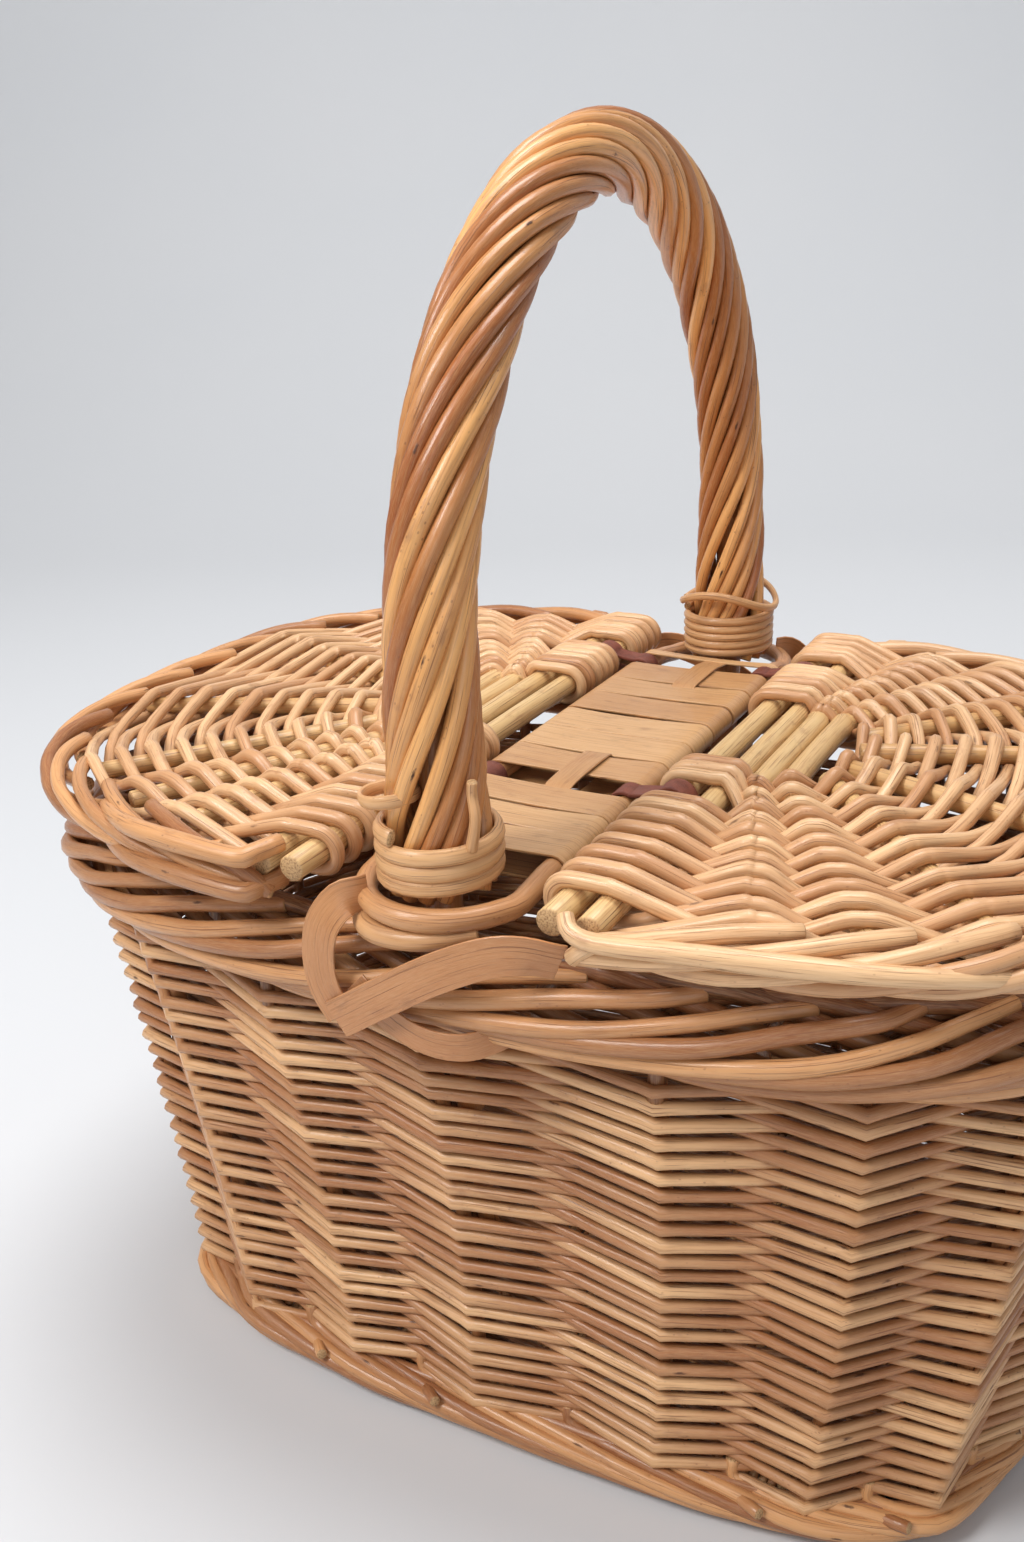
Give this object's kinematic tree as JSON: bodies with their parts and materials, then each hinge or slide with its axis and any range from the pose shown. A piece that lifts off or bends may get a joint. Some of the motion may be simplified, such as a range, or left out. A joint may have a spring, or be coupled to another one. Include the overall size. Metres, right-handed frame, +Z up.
{
  "type": "wicker picnic basket",
  "caption": "Tapered oval willow picnic basket with a roped arch handle and two hinged woven lids that meet at a wrapped bridge.",
  "frame": {"origin": "on the floor under the middle of the basket", "axes": "+Z up; X runs through both lids, with the right lid at +X; Y runs along the two hinge lines, with the near handle leg at -Y"},
  "size_m": [0.399, 0.2858, 0.4261],
  "materials": {
    "willow": "smooth buff willow rods, satin",
    "weave": "woven buff willow, satin",
    "lid_weave": "woven pale buff willow, satin",
    "peeled_stick": "peeled pale willow sticks, matt",
    "split_skein": "flat split willow, matt",
    "leather": "thick reddish-brown leather, satin"
  },
  "bodies": {
    "basket": {"base_stick_back": "peeled_stick", "base_stick_front": "peeled_stick", "base_weave": "weave", "bridge_hoop": "willow", "bridge_long_skein": "split_skein", "bridge_skein_far": "split_skein", "bridge_skein_middle": "split_skein", "bridge_skein_near": "split_skein", "foot_border": "willow", "handle_bow": "willow", "handle_bundle_1": "willow", "handle_bundle_2": "willow", "handle_bundle_3": "willow", "lapping_far": "split_skein", "lapping_near": "split_skein", "left_lid_loop_far": "leather", "left_lid_loop_near": "leather", "right_lid_loop_far": "leather", "right_lid_loop_near": "leather", "rim_border_lower": "willow", "rim_border_upper": "willow", "side_weave": "weave", "stake_01": "willow", "stake_02": "willow", "stake_03": "willow", "stake_04": "willow", "stake_05": "willow", "stake_06": "willow", "stake_07": "willow", "stake_08": "willow", "stake_09": "willow", "stake_10": "willow", "stake_11": "willow", "stake_12": "willow", "stake_13": "willow", "stake_14": "willow", "stake_15": "willow", "stake_16": "willow", "stake_17": "willow", "stake_18": "willow", "stake_19": "willow", "stake_20": "willow", "strap_far": "split_skein", "strap_near": "split_skein"},
    "left_lid": {"left_lid_border": "willow", "left_lid_stick_1": "peeled_stick", "left_lid_stick_2": "peeled_stick", "left_lid_stick_3": "peeled_stick", "left_lid_stick_4": "peeled_stick", "left_lid_stick_5": "peeled_stick", "left_lid_stick_6": "peeled_stick", "left_lid_weave": "lid_weave"},
    "right_lid": {"right_lid_border": "willow", "right_lid_stick_1": "peeled_stick", "right_lid_stick_2": "peeled_stick", "right_lid_stick_3": "peeled_stick", "right_lid_stick_4": "peeled_stick", "right_lid_stick_5": "peeled_stick", "right_lid_stick_6": "peeled_stick", "right_lid_weave": "lid_weave"}
  },
  "joints": [
    {"name": "left_lid_hinge", "type": "hinge", "parent": "basket", "child": "left_lid", "pos_m": [-0.0412, 0, 0.2246], "axis": [0, 1, 0], "range_deg": [0, 98]},
    {"name": "right_lid_hinge", "type": "hinge", "parent": "basket", "child": "right_lid", "pos_m": [0.0412, 0, 0.2246], "axis": [0, -1, 0], "range_deg": [0, 98]}
  ]
}
